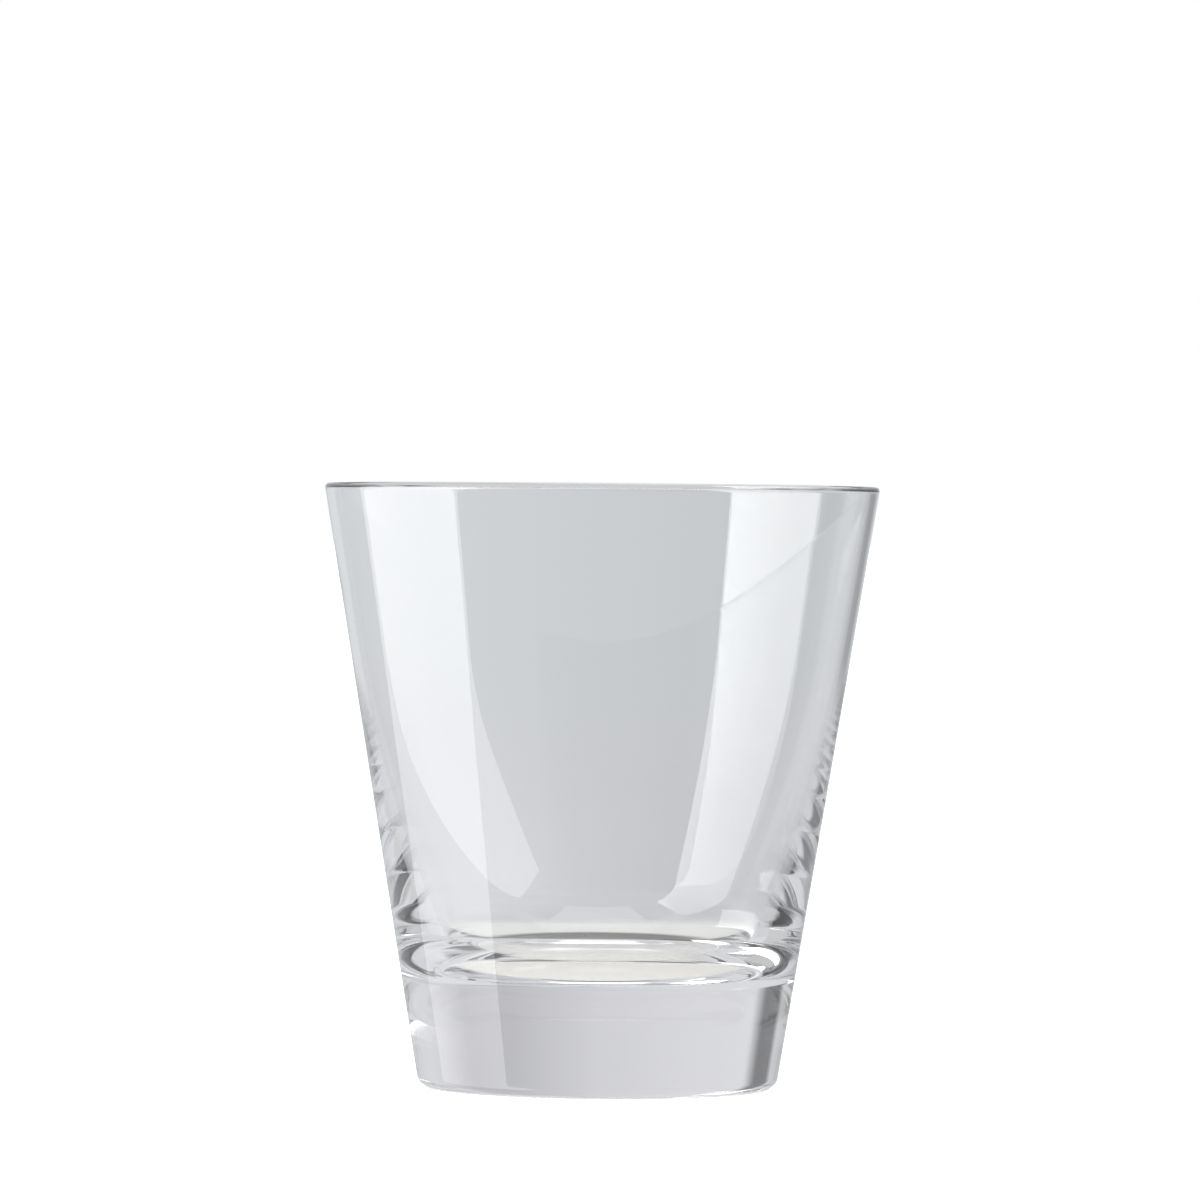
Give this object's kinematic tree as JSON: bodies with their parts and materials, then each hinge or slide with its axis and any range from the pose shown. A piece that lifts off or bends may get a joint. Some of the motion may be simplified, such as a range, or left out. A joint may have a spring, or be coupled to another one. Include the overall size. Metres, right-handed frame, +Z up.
{
  "type": "whiskey tumbler",
  "caption": "Clear glass whiskey tumbler that tapers to a thick solid base, with a thin rounded lip and a round-bottomed bowl.",
  "frame": {"origin": "centre of the foot, on the surface that the glass stands on", "axes": "+Z up along the axis of the glass; it is round, so +X and +Y are any two directions across it"},
  "size_m": [0.0898, 0.0898, 0.0975],
  "materials": {
    "clear_glass": "clear, smooth and glossy"
  },
  "bodies": {
    "root": {"tumbler": "clear_glass"}
  },
  "joints": []
}
